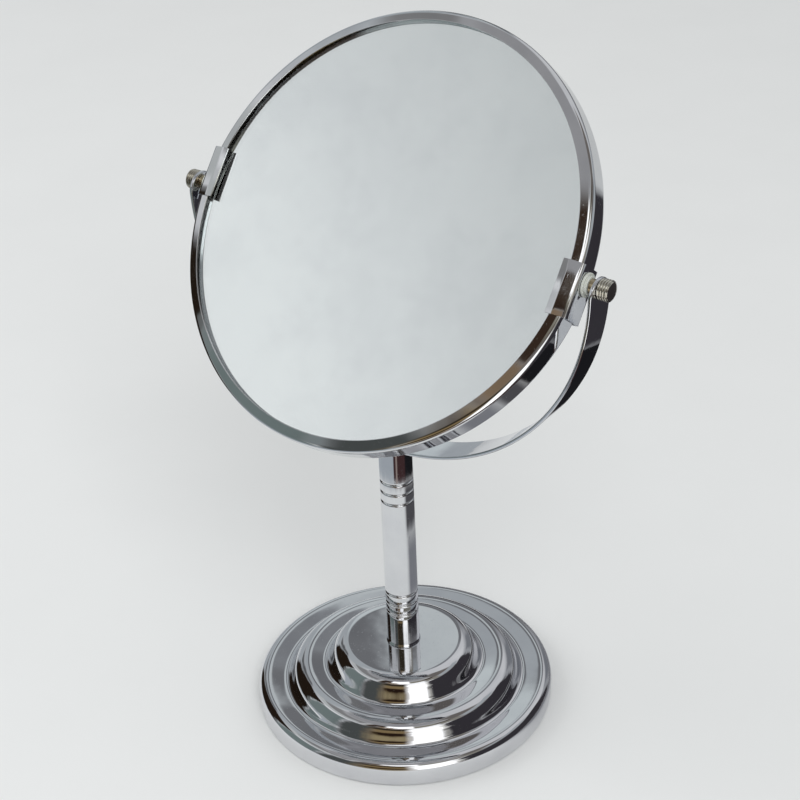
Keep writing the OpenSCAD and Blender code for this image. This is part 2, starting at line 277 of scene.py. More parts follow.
def silvering():
    """The silver behind the glass, very slightly clouded."""
    material, w, where = new_finish("silvering")
    clouds = w.ease(w.noise(where, 26.0, 6.0, 0.6), 0.4, 0.68)
    return finished(material, w, {
        "Base Color": w.blend(clouds, (0.93, 0.945, 0.95, 1), (0.88, 0.895, 0.905, 1)),
        "Roughness": w.spread(w.noise(where, 60.0, 3.0), 0.0, 0.05),
        "Metallic": 1.0})


def float_glass():
    """Clear float glass with a breath of green, wiped smears on its face."""
    material, w, where = new_finish("float_glass")
    smears = w.ease(w.noise(where, 55.0, 6.0, 0.65), 0.5, 0.8)
    return finished(material, w, {
        "Base Color": w.blend(smears, (0.975, 0.99, 0.985, 1), (0.96, 0.975, 0.972, 1)),
        "Roughness": w.times(smears, 0.02),
        "IOR": 1.52,
        "Transmission Weight": 1.0})


def milky_nylon():
    """Moulded nylon that lets a little light in."""
    material, w, where = new_finish("milky_nylon")
    milk = w.noise(where, 420.0, 4.0)
    return finished(material, w, {
        "Base Color": w.blend(milk, (0.68, 0.70, 0.66, 1), (0.50, 0.52, 0.47, 1)),
        "Roughness": w.spread(w.noise(where, 900.0), 0.32, 0.48),
        "Normal": w.relief(w.noise(where, 2600.0, 3.0), 0.00002),
        "Subsurface Weight": 0.35,
        "Subsurface Radius": (0.0012, 0.0012, 0.001)})


def turned_brass():
    """Turned brass, with the lathe's rings and brown tarnish in them."""
    material, w, where = new_finish("turned_brass")
    rings = w.noise(w.stretched(where, (9000, 60, 60)), 1.0, 2.0)
    tarnish = w.ease(w.noise(where, 350.0, 5.0, 0.6), 0.42, 0.7)
    return finished(material, w, {
        "Base Color": w.blend(tarnish, (0.50, 0.42, 0.28, 1), (0.20, 0.155, 0.10, 1)),
        "Roughness": w.plus(w.spread(rings, 0.14, 0.26), w.times(tarnish, 0.2)),
        "Normal": w.relief(rings, 0.00002),
        "Metallic": 1.0})


def foam_rubber():
    """Black closed-cell foam: round pores over a fine grain."""
    material, w, where = new_finish("foam_rubber")
    cells = w.add("ShaderNodeTexVoronoi", {"Vector": where, "Scale": 900.0}).outputs["Distance"]
    grain = w.noise(where, 3000.0, 3.0)
    pores = w.ease(cells, 0.1, 0.5)
    return finished(material, w, {
        "Base Color": w.blend(pores, (0.008, 0.008, 0.009, 1), (0.034, 0.034, 0.036, 1)),
        "Roughness": w.spread(grain, 0.78, 0.95),
        "Normal": w.relief(w.plus(pores, w.times(grain, 0.3)), 0.0002)})


def cast_iron():
    """Sand-cast iron under a thin grey paint."""
    material, w, where = new_finish("cast_iron")
    sand = w.noise(where, 1200.0, 5.0, 0.7)
    rust = w.ease(w.noise(where, 90.0, 6.0, 0.65), 0.58, 0.72)
    return finished(material, w, {
        "Base Color": w.blend(rust, (0.09, 0.09, 0.095, 1), (0.16, 0.085, 0.05, 1)),
        "Roughness": w.spread(sand, 0.55, 0.85),
        "Normal": w.relief(sand, 0.0004),
        "Metallic": 0.4})


def zinc_plate():
    """Bright zinc on steel, with its faint blue and yellow bloom."""
    material, w, where = new_finish("zinc_plate")
    bloom = w.noise(where, 260.0, 4.0)
    return finished(material, w, {
        "Base Color": w.blend(bloom, (0.60, 0.64, 0.69, 1), (0.70, 0.66, 0.54, 1)),
        "Roughness": w.spread(w.noise(where, 1500.0), 0.22, 0.4),
        "Normal": w.relief(w.noise(where, 1800.0), 0.00003),
        "Metallic": 1.0})


def pressed_card():
    """Pressed grey-brown board with fibres."""
    material, w, where = new_finish("pressed_card")
    fibres = w.noise(w.stretched(where, (500, 2600, 900)), 1.0, 5.0, 0.7)
    return finished(material, w, {
        "Base Color": w.blend(fibres, (0.46, 0.37, 0.26, 1), (0.30, 0.23, 0.16, 1)),
        "Normal": w.relief(fibres, 0.0001),
        "Roughness": 0.85})


pressing_chrome = plated("pressed_chrome", (0.75, 0.755, 0.775, 1), (0.68, 0.685, 0.71, 1),
                         (0.03, 0.05, 0.03), (110.0, 0.00003))
stem_chrome = plated("drawn_tube_chrome", (0.75, 0.76, 0.775, 1), (0.675, 0.685, 0.71, 1),
                     (0.035, 0.05, 0.04), (140.0, 0.00002), (1500, 1500, 40))
strap_chrome = plated("rolled_strap_chrome", (0.74, 0.75, 0.775, 1), (0.655, 0.665, 0.70, 1),
                      (0.05, 0.06, 0.04), (160.0, 0.00004), (1200, 60, 1200))
rim_chrome = plated("rolled_rim_chrome", (0.74, 0.75, 0.765, 1), (0.655, 0.665, 0.685, 1),
                    (0.05, 0.07, 0.05), (90.0, 0.00005))
turned_chrome = plated("turned_chrome", (0.66, 0.64, 0.57, 1), (0.48, 0.45, 0.38, 1),
                       (0.06, 0.06, 0.06), (700.0, 0.00002), (7000, 300, 300))
silver = silvering()
glass = float_glass()
nylon = milky_nylon()
brass = turned_brass()
foam = foam_rubber()
iron = cast_iron()
zinc = zinc_plate()
card = pressed_card()

# ---- mesh makers ----


def arc_at(before, at, after, radius, steps):
    """The points that round one corner."""
    u = (before - at) / np.linalg.norm(before - at)
    v = (after - at) / np.linalg.norm(after - at)
    half = math.acos(np.clip(u @ v, -1, 1)) / 2
    centre = at + (u + v) / np.linalg.norm(u + v) * radius / math.sin(half)
    start = at + u * radius / math.tan(half) - centre
    end = at + v * radius / math.tan(half) - centre
    first = math.atan2(start[1], start[0])
    sweep = math.atan2(start[0] * end[1] - start[1] * end[0], start @ end)
    angles = [first + sweep * i / steps for i in range(steps + 1)]
    return [centre + radius * np.array([math.cos(a), math.sin(a)]) for a in angles]


def rounded_loop(corners, radii, steps=10):
    """A closed outline with its corners rounded, and short spans beside each rounding."""
    corners = [np.array(c, float) for c in corners]
    path = []
    for i, at in enumerate(corners):
        if radii[i] > 0:
            path += arc_at(corners[i - 1], at, corners[(i + 1) % len(corners)], radii[i], steps)
        else:
            path.append(at)
    return eased_spans(path)


def eased_spans(path, guard=0.12, longest=2.5):
    """Adds a point near each end of a long span, and evenly between, so that flats shade flat."""
    out = []
    for i, here in enumerate(path):
        there = path[(i + 1) % len(path)]
        length = np.linalg.norm(there - here)
        out.append(here)
        if length > 3 * guard:
            first, last = guard / length, 1 - guard / length
            inner = max(0, int((length - 2 * guard) / longest))
            out += [here + (there - here) * c for c in np.linspace(first, last, inner + 2)]
    return out


def sheet_loop(path, radii, thickness, edge_r, steps=12):
    """The outline of a bent sheet: its face follows the path, its body lies to the left."""
    path = [np.array(p, float) for p in path]
    moved, moved_radii = [], []
    for i, at in enumerate(path):
        u = (at - path[i - 1]) if i else (path[1] - at)
        v = (path[i + 1] - at) if i < len(path) - 1 else u
        u, v = u / np.linalg.norm(u), v / np.linalg.norm(v)
        across = np.array([-u[1] - v[1], u[0] + v[0]])
        moved.append(at + across * 2 * thickness / (across @ across))
        turn = u[0] * v[1] - u[1] * v[0]
        moved_radii.append(max(radii[i] - thickness * np.sign(turn), 0.05) if radii[i] else edge_r)
    radii = [r or edge_r for r in radii]
    return rounded_loop(path + moved[::-1], radii + moved_radii[::-1], steps)


def turned(outline, rounds=256, gap=0.0):
    """Turns a closed outline of (radius, height) round Z; a gap leaves a slit at angle 0."""
    outline = np.array(outline)
    n = len(outline)
    opened = math.asin(gap / 2 / outline[:, 0].max()) if gap else 0.0
    stations = rounds + 1 if gap else rounds
    angles = np.linspace(opened, 2 * math.pi - opened, rounds + 1)[:stations]
    verts = np.array([[r * math.cos(a), r * math.sin(a), z] for a in angles for r, z in outline])
    faces = []
    for k in range(rounds):
        nxt = (k + 1) % stations
        for i in range(n):
            j = (i + 1) % n
            if outline[i][0] > 1e-6 or outline[j][0] > 1e-6:
                faces.append((k * n + i, nxt * n + i, nxt * n + j, k * n + j))
    if gap:
        faces += [tuple(range(n)), tuple(rounds * n + i for i in reversed(range(n)))]
    return verts, faces


def rod(radius, low, high, rounds=64):
    return turned([(0, low), (radius, low), (radius, high), (0, high)], rounds)


def extruded(outline, half_length, middle):
    """Draws a closed outline of (x, z) out along Y, both ways from the middle."""
    n = len(outline)
    verts = np.array([[x, middle + y, z] for y in (-half_length, half_length) for x, z in outline])
    faces = [(i, (i + 1) % n, n + (i + 1) % n, n + i) for i in range(n)]
    return verts, faces + [tuple(range(n)), tuple(n + i for i in reversed(range(n)))]


def settled(mesh, place=None, sharp=38):
    """Merges doubles, turns the faces outwards, sets smooth shading with sharp cut edges."""
    work = bmesh.new()
    work.from_mesh(mesh)
    bmesh.ops.remove_doubles(work, verts=work.verts, dist=2e-7)
    bmesh.ops.dissolve_degenerate(work, edges=work.edges, dist=1e-7)
    if place is not None:
        work.transform(place)
    bmesh.ops.recalc_face_normals(work, faces=work.faces)
    work.to_mesh(mesh)
    work.free()
    for polygon in mesh.polygons:
        polygon.use_smooth = True
    mesh.set_sharp_from_angle(angle=math.radians(sharp))


def plain_mesh(shape, place=None):
    """A mesh of points in millimetres and their faces."""
    verts, faces = shape
    mesh = bpy.data.meshes.new("plain")
    mesh.from_pydata((np.array(verts) * MM).tolist(), [], faces)
    settled(mesh, place)
    return mesh


def placed(name, data):
    """A new object in the scene."""
    thing = bpy.data.objects.new(name, data)
    bpy.context.scene.collection.objects.link(thing)
    return thing


def fitted(name, mesh, finish, body, slot, *stands_for):
    """Puts a finished mesh in the scene, on its body, in place of the nodes that it stands for."""
    mesh.name = name
    mesh.materials.clear()
    mesh.materials.append(finish)
    piece = placed(name, mesh)
    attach(piece, body)
    if stands_for:
        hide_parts(*stands_for)


def evaluated(holder):
    """The plain mesh that an object's modifiers give; the object goes."""
    graph = bpy.context.evaluated_depsgraph_get()
    made = bpy.data.meshes.new_from_object(holder.evaluated_get(graph))
    holder.modifiers.clear()
    bpy.data.objects.remove(holder)
    return made


def after_modifier(mesh, kind, **values):
    """The mesh with one modifier run on it."""
    holder = placed("holder", mesh)
    modifier = holder.modifiers.new(kind.lower(), kind)
    for key, value in values.items():
        setattr(modifier, key, value)
    made = evaluated(holder)
    settled(made)
    return made


def drilled(mesh, cutter):
    """The mesh with another closed mesh cut out of it."""
    tool = placed("cutter", cutter)
    made = after_modifier(mesh, "BOOLEAN", object=tool, operation="DIFFERENCE", solver="EXACT")
    bpy.data.objects.remove(tool)
    return made


def eased_edges(mesh, width=0.12):
    return after_modifier(mesh, "BEVEL", width=width * MM, segments=2, limit_method="ANGLE",
                          angle_limit=math.radians(50))


# ---- base ----


def brow_run(rise, brow_radius, to_slope, cheek_radius):
    """How far a brow's corner is from its cheek's, for a step that rises by that slope."""
    return (brow_radius * math.tan((brow_slope + rise) / 2)
            + cheek_radius * math.tan((to_slope - brow_slope) / 2))


def down_from(brow, run):
    return brow[0] + run * math.cos(brow_slope), brow[1] - run * math.sin(brow_slope)


def foot_of(cheek, brow):
    """Where a cheek meets the step that rises to the next brow."""
    steep, rise = math.tan(cheek_slope), math.tan(step_rise)
    x = (cheek[1] - brow[1] + cheek[0] * steep + brow[0] * rise) / (steep + rise)
    return x, brow[1] - (brow[0] - x) * rise


def eased_bends(outline, ends, reach=0.8, guard=3.0, face_span=0.4, back_span=1.2):
    """The outline with its bends eased into its flats, as a press leaves them; its ends stay."""
    path = np.array(outline + outline[:1])
    along = np.concatenate([[0], np.cumsum(np.linalg.norm(np.diff(path, axis=0), axis=1))])
    length = along[-1]
    inner_end = along[np.argmin(np.linalg.norm(path - ends[1], axis=1))]

    def points(at):
        return np.stack([np.interp(at, along, path[:, k]) for k in (0, 1)], axis=1)

    def off_ends(at):
        return np.min([np.linalg.norm(points(at) - end, axis=1) for end in ends], axis=0)

    even = np.concatenate([np.arange(0, inner_end, face_span),
                           np.arange(inner_end, length, back_span)])
    corners = along[:-1]
    at = np.sort(np.concatenate([corners[off_ends(corners) <= guard],
                                 even[off_ends(even) > guard]]))
    fine = np.arange(0, length, reach / 4)
    apart = (fine - at[:, None] + length / 2) % length - length / 2
    weights = np.exp(-(apart / reach) ** 2 / 2)
    mean = weights @ points(fine) / weights.sum(axis=1)[:, None]
    share = np.clip((off_ends(at) - guard) / guard, 0, 1)[:, None]
    return points(at) + (mean - points(at)) * share


outer_run = brow_run(step_rise, outer_brow_r, math.pi / 2, outer_cheek_r)
outer_brow = (base_r - outer_run * math.cos(brow_slope), outer_step_h)
middle_brow = (middle_step_r, middle_step_h)
top_brow = (top_step_r, base_h)
middle_cheek = down_from(middle_brow, brow_run(step_rise, brow_r, cheek_slope, cheek_r))
top_cheek = down_from(top_brow, brow_run(0, brow_r, cheek_slope, cheek_r))
step_face = [(base_r, edge_lift), down_from(outer_brow, outer_run), outer_brow,
             foot_of(middle_cheek, outer_brow), middle_cheek, middle_brow,
             foot_of(top_cheek, middle_brow), top_cheek, top_brow, (bolt_hole_r, base_h)]
step_radii = [0, outer_cheek_r, outer_brow_r, hollow_r, cheek_r, brow_r, hollow_r, cheek_r, brow_r, 0]
sheet_ends = np.array([(base_r - base_sheet / 2, edge_lift), (bolt_hole_r, base_h - base_sheet / 2)])
pressing = eased_bends(sheet_loop(step_face, step_radii, base_sheet, edge_r=0.3, steps=14), sheet_ends)
fitted("base_steps", plain_mesh(turned(pressing, rounds=288)), pressing_chrome,
       "stand", "chrome", "base_shell")

# ---- turned bands that repeat: the stem's rolled grooves and the knobs' ribs ----


def tree_of(name, sizes):
    """A new tree with named inputs for its sizes in metres, and for its finish."""
    tree = bpy.data.node_groups.new(name, "GeometryNodeTree")
    for size in sizes:
        tree.interface.new_socket(size, in_out="INPUT", socket_type="NodeSocketFloat")
    tree.interface.new_socket("Finish", in_out="INPUT", socket_type="NodeSocketMaterial")
    tree.interface.new_socket("Geometry", in_out="OUTPUT", socket_type="NodeSocketGeometry")
    w = Wiring(tree)
    given = w.add("NodeGroupInput").outputs
    return tree, w, [given[size] for size in sizes], given["Finish"]


def band(w, rows, rounds, profile):
    """A band turned round Z; profile takes 0 to 1 along it and gives its radius and its height."""
    grid = w.add("GeometryNodeMeshGrid", {"Size X": 1.0, "Size Y": 1.0, "Vertices X": rounds + 1,
                                          "Vertices Y": rows + 1})
    at = w.add("ShaderNodeSeparateXYZ", {"Vector": w.add("GeometryNodeInputPosition").outputs[0]})
    angle = w.times(w.plus(at.outputs["X"], 0.5), 2 * math.pi)
    radius, height = profile(w.plus(at.outputs["Y"], 0.5))
    point = w.point(X=w.times(radius, w.maths("COSINE", angle)),
                    Y=w.times(radius, w.maths("SINE", angle)), Z=height)
    return w.add("GeometryNodeSetPosition", {"Geometry": grid.outputs["Mesh"],
                                             "Position": point}).outputs[0]


def close_tree(w, parts, finish):
    """Joins the bands, welds their seams and gives them their finish."""
    join = w.add("GeometryNodeJoinGeometry")
    for part in parts:
        w.tree.links.new(part, join.inputs[0])
    real = w.add("GeometryNodeRealizeInstances", {"Geometry": join.outputs[0]}).outputs[0]
    welded = w.add("GeometryNodeMergeByDistance", {"Geometry": real, "Distance": 2e-6}).outputs[0]
    done = w.add("GeometryNodeSetMaterial", {"Geometry": welded, "Material": finish}).outputs[0]
    w.tree.links.new(done, w.add("NodeGroupOutput").inputs[0])


def stem_tree():
    """A tube with a foot bead and, near each end, a row of rolled grooves: one, repeated."""
    tree, w, sizes, finish = tree_of("Rolled stem", [
        "Radius", "Bore", "Foot", "Top", "Groove start", "Groove pitch", "Grooves", "Groove depth",
        "Bead"])
    radius, bore, foot, top, start, pitch, count, depth, bead = sizes
    rounds = 144
    crowding = 2.4        # how much the rows of faces crowd into a groove
    groove_spread = 0.62  # a groove's half width, as a share of its depth
    bead_spread = 1.1     # the bead's half width, as a share of its height
    half_pitch = w.times(pitch, 0.5)
    row_l = w.times(pitch, count)
    bead_l = w.times(bead, 6.0)
    low_row = w.minus(w.plus(foot, start), half_pitch)
    high_row = w.plus(w.minus(w.minus(top, start), row_l), half_pitch)

    def straight(low, high, r_low=radius, r_high=radius):
        return lambda v: (w.between(v, r_low, r_high), w.between(v, low, high))

    def groove(v):
        t = w.minus(w.times(v, 2.0), 1.0)
        crowded = w.times(w.maths("SIGN", t), w.maths("POWER", w.maths("ABSOLUTE", t), crowding))
        z = w.times(crowded, half_pitch)
        dip = w.times(depth, w.bell(w.maths("DIVIDE", z, w.times(depth, groove_spread))))
        return w.minus(radius, dip), w.plus(z, half_pitch)

    def beaded(v):
        z = w.times(v, bead_l)
        swell = w.times(bead, w.bell(w.maths("DIVIDE", w.minus(z, bead), w.times(bead, bead_spread))))
        return w.plus(radius, swell), w.plus(foot, z)

    ring = band(w, 36, rounds, groove)
    parts = [band(w, 24, rounds, beaded)]
    whole_count = w.add("FunctionNodeFloatToInt", {"Float": count}).outputs[0]
    for level in (low_row, high_row):
        line = w.add("GeometryNodeMeshLine", {"Count": whole_count, "Start Location": w.point(Z=level),
                                              "Offset": w.point(Z=pitch)})
        parts.append(w.add("GeometryNodeInstanceOnPoints", {"Points": line.outputs[0],
                                                            "Instance": ring}).outputs[0])
    foot_r = w.plus(radius, w.times(bead, math.exp(-(1 / bead_spread) ** 2)))
    for rows, run in [(10, straight(w.plus(foot, bead_l), low_row)),
                      (40, straight(w.plus(low_row, row_l), high_row)),
                      (12, straight(w.plus(high_row, row_l), top)),
                      (2, straight(foot, foot, bore, foot_r)),
                      (2, straight(top, top, radius, bore)),
                      (2, straight(top, foot, bore, bore))]:
        parts.append(band(w, rows, rounds, run))
    close_tree(w, parts, finish)
    return tree


def knob_tree():
    """A knob turned with rounded ribs, a crowned end and a blind bore."""
    tree, w, sizes, finish = tree_of("Ribbed knob", [
        "Start", "Radius", "Length", "Ribs", "Groove", "Crown", "Bore", "Bore depth"])
    start, radius, length, ribs, groove, crown, bore, deep = sizes
    rounds = 72
    floor_r = w.minus(radius, groove)
    land = w.minus(length, crown)

    def ribbed(v):
        along = w.times(v, ribs)
        part = w.times(w.maths("FRACT", along), math.pi)
        rise = w.times(w.minus(1.0, w.maths("COSINE", part)), 0.5)
        z = w.times(w.maths("DIVIDE", land, ribs), w.plus(w.maths("FLOOR", along), rise))
        return w.plus(floor_r, w.times(groove, w.maths("SINE", part))), w.plus(start, z)

    def crowned(v):
        a = w.times(v, math.pi / 2)
        return (w.times(floor_r, w.maths("COSINE", a)),
                w.plus(w.plus(start, land), w.times(crown, w.maths("SINE", a))))

    def flat(low, high, level):
        return lambda v: (w.between(v, low, high), w.plus(start, level))

    def bored(v):
        return bore, w.plus(start, w.times(deep, w.minus(1.0, v)))

    close_tree(w, [band(w, 48, rounds, ribbed), band(w, 10, rounds, crowned),
                   band(w, 3, rounds, flat(bore, floor_r, 0.0)), band(w, 2, rounds, bored),
                   band(w, 2, rounds, flat(0.0, bore, deep))], finish)
    return tree


def grown(tree, values, finish, place=None):
    """The plain mesh that a tree gives for these sizes in millimetres (counts stay counts)."""
    holder = placed("holder", bpy.data.meshes.new("holder"))
    modifier = holder.modifiers.new("shape", "NODES")
    modifier.node_group = tree
    for item in tree.interface.items_tree:
        if item.in_out == "INPUT":
            unit = 1 if item.name in ("Grooves", "Ribs") else MM
            value = finish if item.name == "Finish" else float(values[item.name]) * unit
            modifier[item.identifier] = value
    made = evaluated(holder)
    settled(made, place)
    return made


fitted("stem", grown(stem_tree(), {
    "Radius": stem_r, "Bore": stem_r - stem_wall, "Foot": stem_foot, "Top": stem_top,
    "Groove start": groove_start, "Groove pitch": groove_pitch, "Grooves": groove_count,
    "Groove depth": groove_depth, "Bead": foot_bead}, stem_chrome),
    stem_chrome, "stand", "chrome", "stem_tube")

# ---- yoke ----


def strap_shape(stations=181, tip_points=25, guard=0.15):
    """A half hoop of flat strap with round tips and rounded edges."""
    middle_r = (strap_inner_r + strap_outer_r) / 2
    quarter = middle_r * math.pi / 2
    tip_centre = quarter + tip_rise - strap_half
    along = np.linspace(-tip_centre, tip_centre, stations)
    swing = np.linspace(math.pi / 2, -math.pi / 2, tip_points)[1:-1]

    def outline(inset):
        half = strap_half - inset
        front = [(s, half) for s in along]
        tip = [(tip_centre + half * math.cos(a), half * math.sin(a)) for a in swing]
        return front + tip + [(-s, -y) for s, y in front] + [(-s, -y) for s, y in tip]

    def bent(s, y, n):
        r = strap_inner_r + n
        if abs(s) <= quarter:
            return r * math.sin(s / middle_r), y, -r * math.cos(s / middle_r)
        return math.copysign(r, s), y, abs(s) - quarter

    e, t = strap_edge_r, strap_t
    turns = [math.pi / 2 * k / 6 for k in range(7)]
    levels = [(e + guard, 0)] + [(e * (1 - math.sin(a)), e * (1 - math.cos(a))) for a in turns]
    levels += [(0, t / 2)] + [(e * (1 - math.cos(a)), t - e * (1 - math.sin(a))) for a in turns]
    levels += [(e + guard, t)]
    verts = [bent(s, y, n) for inset, n in levels for s, y in outline(inset)]
    count = len(outline(0))
    faces = []
    for k in range(len(levels) - 1):
        for i in range(count):
            j = (i + 1) % count
            faces.append((k * count + i, k * count + j, (k + 1) * count + j, (k + 1) * count + i))
    half_count = count // 2
    for base in (0, (len(levels) - 1) * count):
        # the two long sides run opposite ways, so point i faces point (stations - 1 - i)
        for i in range(stations - 1):
            faces.append((base + i, base + i + 1, base + half_count + stations - 2 - i,
                          base + half_count + stations - 1 - i))
        for shift in (0, half_count):
            tip = [base + (shift + stations - 1 + i) % count for i in range(tip_points)]
            for i in range(tip_points // 2):
                quad = [tip[i], tip[i + 1], tip[-2 - i], tip[-1 - i]]
                faces.append(tuple(dict.fromkeys(quad)))
    return verts, faces


strap = plain_mesh(strap_shape(), yoke_place)
across = yoke_place @ Matrix.Rotation(math.pi / 2, 4, "Y")
past_strap = strap_outer_r + 10
strap = drilled(strap, plain_mesh(rod(pivot_r + 2 * running_fit, -past_strap, past_strap), across))
screw_hole_r = yoke_screw_r + hole_clearance
strap = drilled(strap, plain_mesh(rod(screw_hole_r, stem_top - 2, stem_top + 4)))
fitted("strap", strap, strap_chrome, "stand", "chrome", "yoke_strap")

head_base = washer_seat + washer_t
washer = rounded_loop([(screw_hole_r, washer_seat), (washer_r, washer_seat),
                       (washer_r, head_base), (screw_hole_r, head_base)], [0.1, 0.15, 0.15, 0.1], 4)
fitted("strap_washer", plain_mesh(turned(washer, 96)), turned_chrome, "stand", "chrome", "yoke_washer")


def recess_arm(turn, top, reach=2.1, width=0.42, depth=1.5):
    """One arm of the tapered cross that a driver fits."""
    c, s = math.cos(turn), math.sin(turn)
    verts = [(x * c - y * s, x * s + y * c, z)
             for z, far, wide in ((top - depth, reach * 0.3, width * 0.6), (top + 0.5, reach, width))
             for x, y in ((-far, -wide), (far, -wide), (far, wide), (-far, wide))]
    return verts, [(3, 2, 1, 0), (4, 5, 6, 7), (0, 1, 5, 4), (1, 2, 6, 5), (2, 3, 7, 6), (3, 0, 4, 7)]


screw_low = stem_top - yoke_screw_reach
head_top = head_base + yoke_head_h
screw = rounded_loop([(0, screw_low), (yoke_screw_r, screw_low), (yoke_screw_r, head_base),
                      (yoke_head_r, head_base), (yoke_head_r, head_top), (0, head_top)],
                     [0, 0.5, 0, 0.15, 1.1, 0], 8)
screw = plain_mesh(turned(screw, 96))
for turn in (0, math.pi / 2):
    screw = drilled(screw, plain_mesh(recess_arm(turn, head_top)))
fitted("strap_screw", screw, turned_chrome, "stand", "chrome", "yoke_screw")

# ---- head ----

channel = sheet_loop([(rim_r - lip_w, -rim_half), (rim_r, lip_drop - rim_half),
                      (rim_r, rim_half - lip_drop), (rim_r - lip_w, rim_half)],
                     [0, rim_bend_r, rim_bend_r, 0], rim_sheet, edge_r=0.2, steps=16)
rim = plain_mesh(turned(channel, 360, rim_seam), head_place)
rim_hole = rod(pivot_r + hole_clearance, rim_r - 3, rim_r + 3)
for side in sides.values():
    rim = drilled(rim, plain_mesh(rim_hole, pivot_place(side)))
fitted("rim", rim, rim_chrome, "mirror_head", "chrome", "rim_band")


def disc(name, front, thickness, out_r, finish, *stands_for, rows=58, edge=0.25):
    """A round sheet behind its front surface, which is given as height by radius; eased edge."""
    radii = list(np.linspace(0, out_r - edge, rows))
    path = [(r, front(r)) for r in reversed(radii)] + [(r, front(r) - thickness) for r in radii]
    path += [(out_r, front(out_r) - thickness + edge), (out_r, front(out_r) - edge)]
    fitted(name, plain_mesh(turned(path), head_place), finish, "mirror_head", "mirror_glass",
           *stands_for)


def dished(r):
    return glass_face - laid_gap / 2 + magnifier_r - math.sqrt(magnifier_r ** 2 - r ** 2) - dish


def behind_dished(r):
    return dished(r) - glass_t - film_gap


def level(height):
    return lambda r: height


plain_back = glass_t - glass_face
film_r = mirror_r - film_inset
disc("magnifying_glass", dished, glass_t, mirror_r, glass, "magnifying_mirror")
disc("magnifying_silvering", behind_dished, film_t, film_r, silver, edge=0.01)
disc("plain_glass", level(plain_back), glass_t, mirror_r, glass, "plain_mirror", rows=8)
disc("plain_silvering", level(plain_back + film_gap + film_t), film_t, film_r, silver,
     rows=8, edge=0.01)

# ---- pivots ----

knob_shape = knob_tree()
clip_hole = rod(pivot_r + hole_clearance, rim_r - 2, rim_r + 4)
level_x = rim_r - lip_w
corner = clip_half - (clip_out - level_x) * math.tan(lip_slope)
folded = sheet_loop([(rim_r - clip_depth, -clip_half), (level_x, -clip_half), (clip_out, -corner),
                     (clip_out, corner), (level_x, clip_half), (rim_r - clip_depth, clip_half)],
                    [0, clip_ease_r, clip_bend_r, clip_bend_r, clip_ease_r, 0], clip_sheet, edge_r=0.12)
head_to = head_from + pivot_head_t
shank_to = knob_from + pivot_reach
shank = rounded_loop([(0, head_from), (pivot_head_r, head_from), (pivot_head_r, head_to),
                      (pivot_r, head_to), (pivot_r, shank_to), (0, shank_to)],
                     [0, 0.4, 0.1, 0.1, 0.3, 0], 4)
bore = pivot_r + running_fit
flange = bush_from + bush_flange_t
collar = flange + bush_collar_l
bush = rounded_loop([(bore, bush_from), (bush_r, bush_from), (bush_r, flange), (bush_collar_r, flange),
                     (bush_collar_r, collar), (bore, collar)], [0.05, 0.25, 0.25, 0.15, 0.2, 0.05], 5)
sleeve = rounded_loop([(bore, spacer_from), (spacer_r, spacer_from), (spacer_r, spacer_to),
                       (bore, spacer_to)], [0.05, 0.2, 0.2, 0.05], 5)
for word, side in sides.items():
    place = pivot_place(side)
    clip_turn = head_place @ Matrix.Rotation(0 if side > 0 else math.pi, 4, "Z")
    clip = plain_mesh(extruded(folded, clip_l / 2, -clip_offset), clip_turn)
    clip = eased_edges(drilled(clip, plain_mesh(clip_hole, place)))
    fitted(word + "_rim_clip", clip, rim_chrome, "mirror_head", "chrome", word + "_clip")
    fitted(word + "_screw", plain_mesh(turned(shank, 64), place), brass, "mirror_head", "brass",
           word + "_pivot_screw")
    fitted(word + "_nylon_bush", plain_mesh(turned(bush, 96), place), nylon, "mirror_head", "nylon",
           word + "_bush")
    fitted(word + "_sleeve", plain_mesh(turned(sleeve, 72), place), brass, "mirror_head", "brass",
           word + "_spacer")
    fitted(word + "_grip", grown(knob_shape, {
        "Start": knob_from, "Radius": knob_r, "Length": knob_l, "Ribs": knob_ribs,
        "Groove": knob_groove, "Crown": knob_crown, "Bore": bore,
        "Bore depth": pivot_reach + 3 * laid_gap}, turned_chrome, place),
        turned_chrome, word + "_knob", "chrome", word + "_knob")

# ---- the solids that stay, in their finishes ----

for node, finish in {"base_weight": iron, "base_pad": foam, "base_bolt": zinc, "base_washer": zinc,
                     "stem_foot_plug": zinc, "stem_top_plug": zinc, "core_ring": card}.items():
    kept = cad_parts[node]
    kept.data.materials.clear()
    kept.data.materials.append(finish)

# ---- stage ----

camera_turn = math.radians(37.3)   # round the object from straight in front
camera_away = 0.6240
camera_height = 0.5090
camera_pitch = math.radians(-29.98)
camera_roll = 0.0415
camera_yaw = 0.0045
camera_lens = 79.2


def looking():
    """The camera's place: it stands off at an angle, looks down and leans a little."""
    ahead = Vector((math.sin(camera_yaw) * math.cos(camera_pitch),
                    math.cos(camera_yaw) * math.cos(camera_pitch), math.sin(camera_pitch)))
    right = ahead.cross(Vector((0, 0, 1))).normalized()
    down = ahead.cross(right)
    c, s = math.cos(camera_roll), math.sin(camera_roll)
    across, below = c * right + s * down, c * down - s * right
    axes = Matrix((across, -below, -ahead)).transposed().to_4x4()
    axes.translation = Vector((0, -camera_away, camera_height))
    return Matrix.Rotation(camera_turn, 4, "Z") @ axes


camera_data = bpy.data.cameras.new("camera")
camera_data.lens = camera_lens
camera_data.sensor_width = 36
camera = placed("camera", camera_data)
camera.matrix_world = looking()
bpy.context.scene.camera = camera


def staged(name, mesh, finish):
    """Something of the stage that is no part of the mirror."""
    mesh.materials.append(finish)
    thing = placed(name, mesh)
    return thing


def stage_mesh(name, verts, faces):
    """A mesh for the stage, in metres."""
    mesh = bpy.data.meshes.new(name)
    mesh.from_pydata(verts, [], faces)
    return mesh


